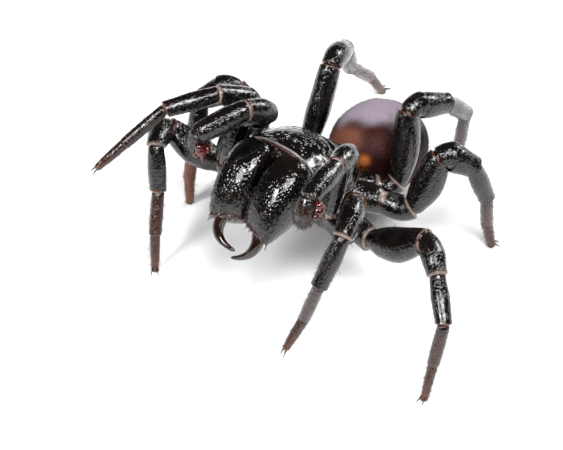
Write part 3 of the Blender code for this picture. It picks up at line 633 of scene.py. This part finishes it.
# Fangs.
# Each fang is one curved tooth, hinged under the jaw's end. It is nearly black with a dark red tinge and
# duller brown edges, and runs out to a fine tip. The two cross.
FANG_SIDES = 28
fang_tips = {"right": (0.05, -6.92, -3.38), "left": (0.12, -7.31, -3.67)}
fang_red = shell("fang_red", (0.006, 0.0014, 0.0011, 1), (0.018, 0.003, 0.0024, 1), 0.5, 0.004, 0.12, 0.5)
for hand, side in (("left", 1), ("right", -1)):
    base = np.array([side * 1.52, -6.62, -2.0])
    way = unit_of(np.array([side * 0.12, -0.40, -0.9]))
    t = np.linspace(-0.12, 1, 60)[:, None]
    line = base * (1 - t) ** 2 + (base + way * 1.3) * 2 * t * (1 - t) + np.array(fang_tips[hand]) * t * t
    t = np.clip(t[:, 0], 0, 1)
    radius = (0.46 - 0.34 * t**1.3) * np.sqrt(np.clip((1.02 - t) / 0.07, 0, 1))
    grid = round_tube(line, radius, FANG_SIDES, (0, -1, 0), 0.86)
    tone = np.zeros(grid.shape)
    edge_of_fang = np.abs(np.cos(angles(FANG_SIDES)))[None] ** 6
    tone[..., 2] = 0.3 * edge_of_fang * eased(t, [(0.1, 0), (0.4, 1)])[:, None]
    tone[..., 1] = 0.06 * bump_of(t - 0.05, 0.06)[:, None]
    fang = piece_of(f"fang_tooth_{hand}", [body_skin(grid, tone)], fang_red)
    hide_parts(f"fang_{hand}")

# Chest plate and mouth.
# Under the body a flat shield lies between the hips, with the lip in front of it. Both are black and
# hard and sit in pale skin.
a = angles(64)[None, :]
b = np.linspace(0.02, np.pi / 2, 30)[:, None]
deep = -0.3 - 1.65 * np.cos(b) * np.ones_like(a)
shield = np.stack([1.5 * np.sin(b) * np.cos(a), 0.1 + 1.9 * np.sin(b) * np.sin(a), deep], -1)
lip_line = curve_through([(0, -2.0, -1.5), (0, -2.5, -1.25), (0, -2.9, -0.95)], 20)
lip_radius = 0.5 * np.sqrt(1 - np.linspace(-0.95, 0.95, 20) ** 2) + 0.05
mouth_lip = round_tube(lip_line, lip_radius, 24, (0, 0, 1), 1.2)
skins = [body_skin(grid) for grid in (shield, mouth_lip)]
chest = piece_of("chest_plate", skins, black_granular)
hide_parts("sternum")

# Limbs.
# Two palps and eight legs. Each is a row of stout glossy tubes of shell joined by pale folded skin that
# shows on the inside of the bends, with red rims at the ends of the tubes and rusty far ends.
LIMBS = {
    "palp": dict(
        inner=(1.0, -2.6, -1.0), hip=(4.42, -3.65, 0.1), coxa=0.72, belly=0.0,
        lengths=(4.8, 2.4, 3.3, 2.0), radii=(0.57, 0.70, 0.74, 0.72),
    ),
    "leg_1": dict(
        inner=(1.5, -1.5, -1.2), hip=(5.25, -2.56, -1.55), coxa=0.92, belly=0.35,
        lengths=(5.3, 2.9, 3.5, 3.3, 2.4), radii=(0.76, 0.68, 0.58, 0.40, 0.31),
    ),
    "leg_2": dict(
        inner=(1.8, -0.3, -1.2), hip=(5.78, -0.94, -2.30), coxa=0.95, belly=0.75,
        lengths=(4.9, 2.4, 3.1, 2.8, 2.5), radii=(0.80, 0.69, 0.57, 0.42, 0.30),
    ),
    "leg_3": dict(
        inner=(1.8, 1.0, -1.2), hip=(6.0, 3.0, -1.73), coxa=0.95, belly=0.35,
        lengths=(4.5, 2.4, 3.0, 2.6, 2.1), radii=(0.85, 0.80, 0.60, 0.42, 0.32),
    ),
    "leg_4": dict(
        inner=(1.5, 2.2, -1.2), hip=(3.67, 4.67, -1.74), coxa=0.9, belly=0.35,
        lengths=(5.6, 3.1, 3.6, 3.9, 2.4), radii=(0.80, 0.74, 0.58, 0.42, 0.31),
    ),
}
TURNS_AND_SLOPES = {
    ("palp", -1): ((-140, 83, 56, -36), (48, 36, -22, -74)),
    ("palp", 1): ((-51, 73, 79, 92), (75, 17, 2, -71)),
    ("leg_1", -1): ((-111, 61, 60, 64, 60), (57, 25, -4, -34, -38)),
    ("leg_1", 1): ((40, 66, 102, 169, 112), (64, -7, -59, -72, -57)),
    ("leg_2", -1): ((23, 121, 136, 122, 129), (31, 5, -70, -57, None)),
    ("leg_2", 1): ((-4, 37, 42, 91, 82), (27, -21, -33, -71, None)),
    ("leg_3", -1): ((25, 44, 101, 106, 103), (64, -31, -68, -73, None)),
    ("leg_3", 1): ((-75, -42, -57, -115, -42), (59, -35, -71, -79, None)),
    ("leg_4", -1): ((-83, -67, -63, -81, -99), (60, -24, -57, -46, None)),
    ("leg_4", 1): ((-111, -73, -97, -138, -120), (70, -21, -46, -69, None)),
}

# Sideways bow of a thigh, then dust and red of the two end tubes of the left and the right leg.
BOWS = {("palp", -1): (-0.5, 0.25, 0.42)}
FAR_TONES = {
    "leg_1": ((0.5, 0.05), (0.2, 0.0)),
    "leg_2": ((0.6, 0.07), (0.4, 0.12)),
    "leg_3": ((0.3, 0.16), (0.5, 0.95)),
    "leg_4": ((0.5, 0.14), (0.5, 0.2)),
}
# Across a joint, in widths of its skin: how far the tube's end drops and where the pale skin lies. Then the
# side on which a joint shows it (1 is the inside of the bend) and how red each tube's rim is.
JOINT_DROP = [(-1.9, 0), (-1.15, -0.03), (-0.85, 0.15), (-0.5, 0.19), (0.7, 0.17), (1.5, 0.03), (2.4, 0)]
JOINT_PALE = [(-0.95, 0), (-0.7, 1), (0.55, 1), (0.85, 0)]
ALL_ROUND = [(-1, 1), (1, 1)]
BARE_SIDE = {2: [(0.0, 0.0), (0.45, 1)], 4: [(-0.3, 0.1), (0.5, 0.8)], 5: [(0, 0), (1, 0.5)]}
RIM_RED = (0.1, 0.15, 0.5, 0.3, 0.9, 0.2)
LIMB_SIDES = 44


def limb_joints(kind, side):
    """Joints from the hip's inner end to the toe. Each tube's way is side · cos slope · cos turn, then
    -cos slope · sin turn, then sin slope. A standing toe reaches the floor."""
    limb = LIMBS[kind]
    x, y, z = limb["inner"]
    away = np.array([x, y - 0.1]) / np.hypot(x, y - 0.1)
    reach = 1 / np.hypot(away[0] / 1.5, away[1] / 1.9) + 0.3
    hip = np.array(limb["hip"])
    points = [on_body([side * away[0] * reach, 0.1 + away[1] * reach, z]), on_body(hip * [side, 1, 1])]
    for length, turn, slope in zip(limb["lengths"], *TURNS_AND_SLOPES[kind, side]):
        tilt = -np.arcsin(min(1.0, (points[-1][2] + 0.08) / length)) if slope is None else np.radians(slope)
        turn = np.radians(turn)
        way = np.array([side * np.cos(tilt) * np.cos(turn), -np.cos(tilt) * np.sin(turn), np.sin(tilt)])
        points.append(points[-1] + way * length)
    return points


def bent_line(points, bends, bow):
    """Line through the joints with an arc in each corner; the thigh's stretch is bowed aside by sin²(πt).
    Each corner also gets the distance to its arc, its length and the way to the inside of the bend."""
    line, corners, length = [points[0]], [], 0.0
    for before, corner, after, bend in zip(points, points[1:], points[2:], bends):
        into, out = unit_of(corner - before), unit_of(after - corner)
        turn = max(np.arccos(np.clip(into @ out, -1, 1)), 0.02)
        most = 0.42 * min(np.linalg.norm(corner - before), np.linalg.norm(after - corner))
        reach = min(bend * np.tan(turn / 2), most)
        radius = reach / np.tan(turn / 2)
        inward = unit_of(out - into * (into @ out))
        start = corner - into * reach
        t = np.linspace(0, 1, 25)[1:, None]
        side_step = np.array(bow) * np.sin(np.pi * t) ** 2 if len(corners) == 1 else 0.0
        straight = line[-1] * (1 - t) + start * t + side_step
        length += np.linalg.norm(np.diff(np.concatenate([line[-1:], straight]), axis=0), axis=1).sum()
        line.extend(straight)
        corners.append((length, radius * turn, inward))
        a = np.linspace(0, turn, 30)[:, None]
        line.extend((start + into * radius * np.sin(a) + inward * radius * (1 - np.cos(a)))[1:])
        length += radius * turn
    line.append(points[-1])
    line = np.array(line)
    places = np.concatenate([[0], np.cumsum(np.linalg.norm(np.diff(line, axis=0), axis=1))])
    return line, places, corners


def limb_shape(kind, side, sides=LIMB_SIDES):
    """Skin of a limb. Its radius follows each tube's swelling; at each joint it drops behind the rim of the
    tube before, stays narrow over the joint's skin and rises again, widest inside the bend. Returns the
    grid, the tones and each row's place counted in tubes."""
    limb = LIMBS[kind]
    radii, coxa = limb["radii"], limb["coxa"]
    points = limb_joints(kind, side)
    knee_bend = radii[0] * (1.04 if kind == "palp" else 1.12)
    bends = [coxa, knee_bend] + [radius * 1.06 for radius in radii[1 : len(points) - 3]]
    line, places, corners = bent_line(points, bends, BOWS.get((kind, side), (0, 0, 0)))
    joints = [corners[0][0] + corners[0][1] * 0.62, corners[1][0] + corners[1][1] * 0.3]
    joints += [start + arc / 2 for start, arc, _ in corners[2:]]
    inwards = [corner[2] for corner in corners]
    total = places[-1]
    ends = [0.0] + joints + [total]
    swell = [
        [(0, 0.85 * coxa / radii[0]), (0.45, coxa / radii[0]), (0.72, 0.94), (1, 0.98)],
        [(0, 0.80), (0.4, 1.04), (0.75, 1.0), (1, 0.90)],
        [(0, 0.92), (0.45, 1.07), (1, 0.92)],
        [(0, 0.90), (0.45, 1.04), (1, 0.93)],
        [(0, 0.96), (0.5, 1.0), (1, 0.96)],
        [(0, 1.12), (0.35, 1.04), (1, 0.80)],
    ]
    if kind == "palp":
        swell = swell[:4] + [[(0, 0.86), (0.45, 1.0), (0.85, 0.74), (1, 0.34)]]
    widths = [radii[0]] + list(radii)
    stops, stations, tube_of = [], [], []
    for i, (start, end) in enumerate(zip(ends, ends[1:])):
        for t, amount in swell[i]:
            stops.append((start + 0.04 + (end - start - 0.08) * t, amount * widths[i]))
        u = np.linspace(0, 1, 46, endpoint=False)
        u = u - 0.82 * np.sin(2 * np.pi * u) / (2 * np.pi)
        stations.append(start + (end - start) * u)
        tube_of.append(i + u)
    s = np.concatenate(stations + [[total]])
    tube_of = np.concatenate(tube_of + [[len(ends) - 1.0]])
    path = np.stack([np.interp(s, places, line[:, k]) for k in range(3)], -1)
    smooth = path.copy()
    smooth[1:-1] = (path[:-2] + 2 * path[1:-1] + path[2:]) / 4
    along, across, beside = frames_along(smooth, (0, 0, 1.0))
    a = angles(sides)[None, :, None]
    ring = np.cos(a) * across[:, None] + np.sin(a) * beside[:, None]
    radius = eased(s, stops)[:, None] * np.ones((1, sides))
    below = unit_of(inwards[1] - along * (along @ inwards[1])[:, None])
    down = np.einsum("ijk,ik->ij", ring, below)
    deep = limb["belly"] * eased(tube_of, [(1, 0), (1.25, 0.7), (1.55, 1), (2, 0.2), (2.02, 0)])[:, None]
    dome = 0.16 * eased(tube_of, [(1.7, 0), (2.0, 0.6), (2.5, 1), (3.0, 0.3), (3.1, 0)])[:, None]
    slim = 0.10 * eased(tube_of, [(1.0, 0), (1.5, 1), (2.2, 0)])[:, None]
    fuller = 1 + deep * np.maximum(down, 0) ** 1.3 + dome * np.maximum(-down, 0) - slim * (1 - down**2)
    radius = radius * fuller
    lumps = np.sin(2 * np.pi * 2.2 * tube_of)[:, None] * np.sin(2 * a[..., 0] + 1)
    radius = radius * (1 + 0.08 * lumps * eased(tube_of, [(0, 0), (0.2, 1), (0.85, 1), (1, 0)])[:, None])
    tone = np.zeros((len(s), sides, 3))
    joint_list = [(joints[0] * 0.60, inwards[0], 0.9)] + [(j, w, 1.0) for j, w in zip(joints, inwards)]
    for n, (joint, inward, strength) in enumerate(joint_list):
        inside = np.clip(ring @ inward, -1, 1)
        scale = (0.7 + 0.5 * radii[min(max(n - 1, 0), len(radii) - 1)]) * (1.25 if n < 2 else 1.0)
        width = (0.050 + 0.125 * np.maximum(inside, 0) ** 1.2) * scale
        strength = strength * (0.25 if n == 5 else 1.0)
        x = (s[:, None] - joint) / width
        radius = radius * (1 - eased(x, JOINT_DROP) * strength)
        pale = eased(x, JOINT_PALE) * strength * eased(inside, BARE_SIDE.get(n, ALL_ROUND))
        tone[..., 0] = np.maximum(tone[..., 0], pale)
        rim = 0.1 if kind == "palp" and n == 4 else RIM_RED[n]
        tone[..., 1] = np.maximum(tone[..., 1], rim * bump_of(x + 1.2, 0.4))
        tone[..., 1] = np.maximum(tone[..., 1], 0.4 * rim * bump_of(x - 1.2, 0.4))
    if kind == "palp":
        far_red = eased(tube_of, [(4.05, 0), (4.3, 0.08), (4.75, 0.06), (5.0, 0.9)])
    else:
        dusty, red = FAR_TONES[kind][0 if side > 0 else 1]
        tone[..., 2] = np.maximum(tone[..., 2], dusty * eased(tube_of, [(4.0, 0), (4.3, 1)])[:, None])
        far_red = eased(tube_of, [(4.0, 0), (4.4, red), (5.2, red + 0.04), (6, red + 0.3)])
    tone[..., 1] = np.maximum(tone[..., 1], far_red[:, None])
    tip = np.clip((total - s) / 0.22, 0, 1)[:, None]
    radius = radius * np.sqrt(1 - (1 - tip) ** 2 * 0.985)
    grid = path[:, None] + radius[..., None] * ring
    local = (grid - STANCE) @ LEAN
    hip_rows = (s < joints[0])[:, None]
    for place, normal in hip_planes(kind, side):
        past = np.maximum((local - place) @ normal, 0) * hip_rows
        local = local - past[..., None] * normal
    local[..., 2] = np.where(hip_rows, np.minimum(local[..., 2], -0.22), local[..., 2])
    grid = local @ LEAN.T + STANCE
    if TURNS_AND_SLOPES[kind, side][1][-1] is None:
        grid[..., 2] = np.maximum(grid[..., 2], 0.0)
    return grid, tone, tube_of, points


def hip_planes(kind, side):
    """Planes between a hip and its neighbours, half a gap off: places and normals in body coordinates."""
    order = list(LIMBS)
    at = order.index(kind)
    planes = []
    for other, sign in ((at - 1, -1), (at + 1, 1)):
        if 0 <= other < len(order):
            mine, theirs = LIMBS[kind], LIMBS[order[other]]
            inner = (np.array(mine["inner"]) + np.array(theirs["inner"])) / 2
            outer = (np.array(mine["hip"]) + np.array(theirs["hip"])) / 2
            way = unit_of((outer - inner)[:2])
            normal = np.array([-way[1], way[0], 0]) * sign
            place = inner - normal * 0.04
            planes.append((place * [side, 1, 1], normal * [side, 1, 1]))
    if kind == "palp":
        planes.append((np.array([side * 0.06, 0, 0]), np.array([-side, 0, 0])))
    return planes


LEG_DARK, LEG_WARM = (0.0015, 0.0012, 0.0012, 1), (0.006, 0.0032, 0.0026, 1)
leg_black = shell("leg_shell", LEG_DARK, LEG_WARM, 0.17, 0.027, 0.15)
brown_hair = hair("leg_bristle", (0.006, 0.003, 0.002, 1), (0.036, 0.018, 0.013, 1))
claw_dark = shell("claw_horn", (0.015, 0.006, 0.004, 1), (0.05, 0.018, 0.010, 1), 0.4, 0.003, 0.2, 0.5)
limb_points = {}
for kind in LIMBS:
    for side, hand in ((1, "left"), (-1, "right")):
        grid, tone, tube_of, joints = limb_shape(kind, side)
        limb_points[kind, side] = joints
        limb = piece_of(f"{kind}_{hand}_skin", [closed_skins(grid[None], tone[None])], leg_black)
        tubes = ("hip", "femur", "patella", "tibia", "tarsus" if kind == "palp" else "foot")
        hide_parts(*[f"{kind}_{hand}_{tube}" for tube in tubes])
        row = (tube_of[1:] + tube_of[:-1]) / 2
        even = np.ones((1, grid.shape[1]))
        seed = 40 * len(kind) + 3 * list(LIMBS).index(kind) + side
        if kind == "palp":
            far = eased(row, [(0.9, 0), (1.2, 0.25), (3.5, 0.4), (4.0, 1), (5.0, 1)])[:, None] * even
            coats = [bristles(grid, far, 420, 0.30, 0.009, 40, -0.15, seed)]
            fringe = eased(row, [(4.0, 0), (4.2, 1)])[:, None] * even
            coats += [bristles(grid, fringe, 900 if side > 0 else 700, 0.36, 0.010, 26, 0.1, seed + 7)]
        else:
            far = eased(row, [(0.9, 0), (1.2, 0.18), (3.0, 0.3), (4.0, 1.2), (6.0, 2.2)])[:, None] * even
            coats = [bristles(grid, far, 850, 0.27, 0.010, 38, -0.1, seed)]
            long_ones = eased(row, [(1.0, 0.1), (3.2, 0.5), (4.2, 1), (6, 0.7)])[:, None] * even
            coats += [bristles(grid, long_ones, 70, 0.46, 0.013, 52, -0.2, seed + 7)]
        coat = piece_of(f"{kind}_{hand}_bristles", coats, brown_hair)

# Claws.
# Each leg ends in two slim curved claws of dark brown horn. They are rooted side by side in the toe and
# spread a little.
CLAW_RADIUS = 0.075
claw_skins = []
for (kind, side), joints in limb_points.items():
    if kind == "palp":
        continue
    tip = joints[-1]
    way = unit_of(tip - joints[-2])
    level = np.array([way[0], way[1], 0]) / np.hypot(way[0], way[1])
    across = np.array([-level[1], level[0], 0])
    roots, tips = [], []
    for sign in (-1, 1):
        if TURNS_AND_SLOPES[kind, side][1][-1] is None:
            roots.append(np.array([tip[0], tip[1], 0.30]) + across * sign * 0.12 - level * 0.04)
            tips.append(np.array([tip[0], tip[1], 0.07]) + level * 0.55 + across * sign * 0.24)
        else:
            roots.append(tip - way * 0.12 + across * sign * 0.12)
            tips.append(tip + way * 0.44 + across * sign * 0.20 - np.array([0, 0, 0.12]))
    pair = spike_set(roots, tips, CLAW_RADIUS, (0, 0, 0.07), 9, 10)
    claw_skins.append(closed_skins(pair, np.zeros(pair.shape)))
claws = piece_of("claws", claw_skins, claw_dark)

# Palp bulbs.
# A male's palp carries a bulb of glossy dark red shell beside its last tube. It has four round lobes and a
# short pointed spur.
LOBE_RADII = np.array([0.38, 0.27, 0.25, 0.22])
BULB_OUT, SPUR_RADIUS = 0.78, 0.17
bulb_skins = []
for side in (1, -1):
    joints = limb_points["palp", side]
    way = unit_of(joints[-1] - joints[-2])
    toward = np.array([1.0, 0.36, 0.33] if side > 0 else [0.62, -0.45, 0.55])
    toward = unit_of(toward - way * (toward @ way))
    middle = joints[-2] + way * (0.55 if side > 0 else 0.75) + toward * BULB_OUT
    aside = np.cross(way, toward)
    upper = middle - way * 0.42 + aside * 0.16
    outer = middle - way * 0.05 - aside * 0.36
    lower = middle + way * 0.3 + aside * 0.3
    lobes = balls([middle, upper, outer, lower], LOBE_RADII[:, None] * np.ones(3), 26, 32)
    bulb_skins.append(closed_skins(lobes, np.zeros(lobes.shape)))
    spur_tip = middle + toward * 0.6 + way * 0.65
    spur = spike_set([middle + toward * 0.2], [spur_tip], SPUR_RADIUS, way * -0.05, 12, 14)
    bulb_skins.append(closed_skins(spur, np.zeros(spur.shape)))
bulb_red = shell("bulb_red", (0.020, 0.0012, 0.0012, 1), (0.08, 0.004, 0.004, 1), 0.3, 0.010, 0.09, 0.4)
bulbs = piece_of("palp_bulbs", bulb_skins, bulb_red)

# Waist and abdomen.
# A thin stalk carries the soft egg-shaped abdomen. Its skin is dark plum brown with a mauve patch on the
# back and tan in front, and has a short velvet coat. An orange spot beside the stalk is painted bounce
# light.
waist_line = np.linspace([0, 1.8, -0.95], [0.15, 3.9, -0.95], 24)
waist_grid = round_tube(waist_line, 0.45 - 0.05 * np.sin(np.linspace(0, np.pi, 24)), 28)
waist_tone = np.zeros(waist_grid.shape)
waist_tone[..., 0] = 0.6
waist = piece_of("waist_stalk", [body_skin(waist_grid, waist_tone)], leg_black)
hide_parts("waist")

ABDOMEN_CENTER, ABDOMEN_HALF = np.array([0.2, 6.85, -1.2]), np.array([2.95, 3.35, 2.88])
ABDOMEN_POWER = 2.25
ABDOMEN_RINGS, ABDOMEN_SIDES = 90, 110
b = np.linspace(0.03, np.pi - 0.03, ABDOMEN_RINGS)[:, None]
a = angles(ABDOMEN_SIDES)[None, :]
unit = np.stack(np.broadcast_arrays(np.sin(b) * np.sin(a), -np.cos(b), np.sin(b) * np.cos(a)), -1)
fuller = 1 + 0.05 * unit[..., 1:2]
creased = 1 - 0.006 * np.cos(unit[..., 1:2] * 26) * np.clip(unit[..., 2:3] + 0.4, 0, 1)
boxy = (np.abs(unit) ** ABDOMEN_POWER).sum(-1, keepdims=True) ** (-1 / ABDOMEN_POWER)
round_the_axis = np.where([True, False, True], fuller * creased, 1)
abdomen_grid = ABDOMEN_CENTER + unit * boxy * ABDOMEN_HALF * round_the_axis
left, rear, top = (unit[..., k] for k in range(3))
patch_front = rear - 0.38 * left + 0.05 * np.sin(9 * left + 0.6)
patch = bump_of(left + 0.08, 0.80) * eased(patch_front, [(-0.80, 0), (-0.16, 1), (0.3, 1), (0.8, 0)])
patch = patch * eased(top, [(0.3, 0), (0.65, 1)])
face = 0.9 * eased(-rear, [(0.45, 0), (0.85, 1)]) * eased(left, [(-0.1, 1), (0.5, 0.05)])
flank = np.maximum(face, 0.35 * eased(top, [(-0.6, 1), (0.0, 0)]))
# The orange spot low on the abdomen's front, beside the stalk, is painted bounce light, not a marking.
painted_bounce_light = 0.8 * bump_of(left - 0.40, 0.16) * bump_of(rear + 0.88, 0.14) * bump_of(top - 0.26, 0.16)
abdomen_tone = np.stack([patch, flank, painted_bounce_light], -1)


def velvet(name, light):
    """Soft skin or its hairs: dark red-brown clouds, a mauve patch (red channel of the painted tone), tan
    face and belly (green) and orange (blue), all times the factor light. The orange is painted bounce light
    on the abdomen and the spinnerets' own colour."""
    made, tree, surface, where = blank_finish(name)
    cloud, fine = noise(tree, where, 520.0, 5.0), noise(tree, where, 9000.0, 3.0)
    mauve_share, tan_share, orange_and_bounce_share = painted_tone(tree)
    tints = [
        (0.006, 0.001, 0.0008), (0.024, 0.005, 0.004), (0.15, 0.055, 0.036),
        (0.34, 0.10, 0.025), (0.19, 0.158, 0.188),
    ]
    dark, warm, tan, orange, mauve = [tuple(light * part for part in tint) + (1,) for tint in tints]
    color = mixed(tree, ranged(tree, cloud, 0.38, 0.66), dark, warm)
    color = mixed(tree, ranged(tree, tan_share, 0.1, 0.9, 0, 0.8), color, tan)
    # Orange: painted bounce light on the abdomen, the own colour of the spinnerets.
    color = mixed(tree, ranged(tree, orange_and_bounce_share, 0.1, 0.9), color, orange)
    color = mixed(tree, ranged(tree, mauve_share, 0.12, 0.85), color, mauve)
    tree.links.new(color, surface.inputs["Base Color"])
    tree.links.new(relief(tree, fine, 0.5, 0.03), surface.inputs["Normal"])
    set_sockets(surface, Roughness=0.5, Specular_IOR_Level=0.08, Sheen_Weight=0.01)
    return made


soft_skin = velvet("abdomen_velvet", 1.0)
placed = on_body(abdomen_grid)
abdomen = piece_of("abdomen_skin", [closed_skins(placed[None], abdomen_tone[None])], soft_skin)
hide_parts("abdomen")
marks = (abdomen_tone[:-1] + abdomen_tone[1:]) / 2
even = np.ones((ABDOMEN_RINGS - 1, ABDOMEN_SIDES))
fur = bristles(placed, even, 5200, 0.30, 0.012, 22, 0.15, 3, marks=marks)
coat = piece_of("abdomen_coat", [fur], velvet("abdomen_hair", 1.25))

# Spinnerets.
# Four soft tapered fingers of orange-brown skin, two long and two short, let out the silk. They stand on
# a low round seat at the abdomen's end.
out = np.array([0, 0.86, -0.5]) / np.hypot(0.86, 0.5)
seat = ABDOMEN_CENTER + ABDOMEN_HALF * [0, 0.88, -0.36]
seat_line = np.linspace(seat - out * 0.1, seat + out * 0.62, 16)
grids = [round_tube(seat_line, 0.74 * np.sqrt(1 - np.linspace(0, 0.97, 16) ** 3), 32)]
FINGERS = ((0.34, 0.12, 0.25, 1.05), (0.21, -0.36, 0.18, 0.6))
for side in (-1, 1):
    for x, drop, radius, length in FINGERS:
        root = seat + out * 0.25 + np.array([side * x, 0, drop])
        way = out + np.array([side * 0.25, 0, 0.15])
        t = np.linspace(0, 1, 22)
        line = root + t[:, None] * way / np.linalg.norm(way) * length
        rings = 1 + 0.05 * np.cos(t * 2 * np.pi * 3)
        rounding = np.sqrt(np.clip((1.01 - t) / 0.08, 0, 1))
        grids.append(round_tube(line, radius * (1 - 0.55 * t**1.5) * rings * rounding, 20))
FINGER_TONE = [0.0, 0.7, 0.5]
skins = [body_skin(grid, np.broadcast_to(FINGER_TONE, grid.shape)) for grid in grids]
spinnerets = piece_of("spinneret_fingers", skins, soft_skin)
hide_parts("spinnerets")
